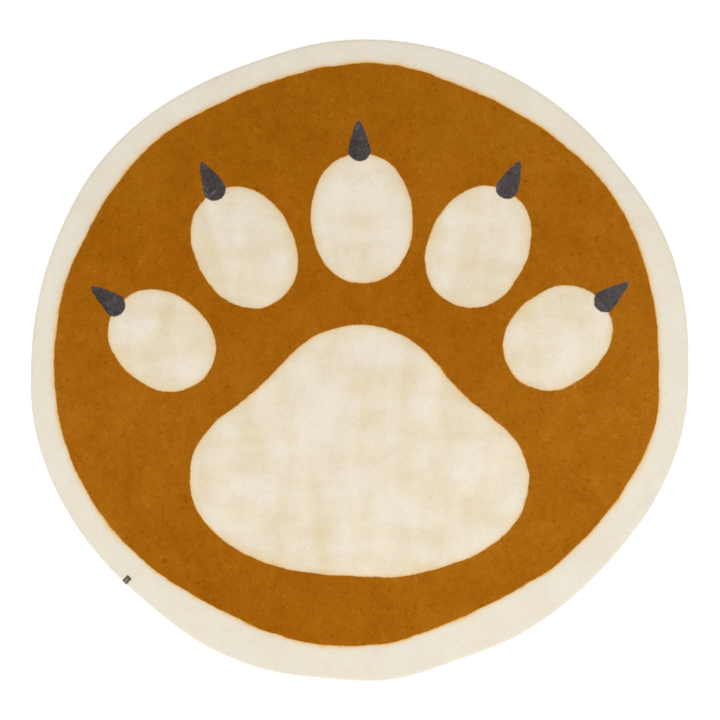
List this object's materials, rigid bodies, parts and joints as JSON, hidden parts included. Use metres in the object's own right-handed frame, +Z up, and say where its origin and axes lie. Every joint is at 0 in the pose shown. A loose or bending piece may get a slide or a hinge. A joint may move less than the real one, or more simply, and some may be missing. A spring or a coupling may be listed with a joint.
{
  "type": "round felt kids rug",
  "caption": "Round hand-felted wool rug for a child's room: a cream border round an ochre ground, a soft uneven rim, and a small woven label folded over it.",
  "frame": {"origin": "on the floor, under the middle of the rug's bounding box", "axes": "+Z up, +X to the right and +Y to the top of the rug as it is looked at from above, with the label at the lower left"},
  "size_m": [1.1987, 1.1691, 0.0107],
  "materials": {
    "wool_felt": "wet-felted wool, matt, with short loose fibres, in natural cream with ochre and charcoal felted in",
    "woven_tape": "fine plain woven tape, dark brown with a lighter middle"
  },
  "bodies": {
    "root": {"felt_rug": "wool_felt", "edge_label": "woven_tape"}
  },
  "joints": []
}
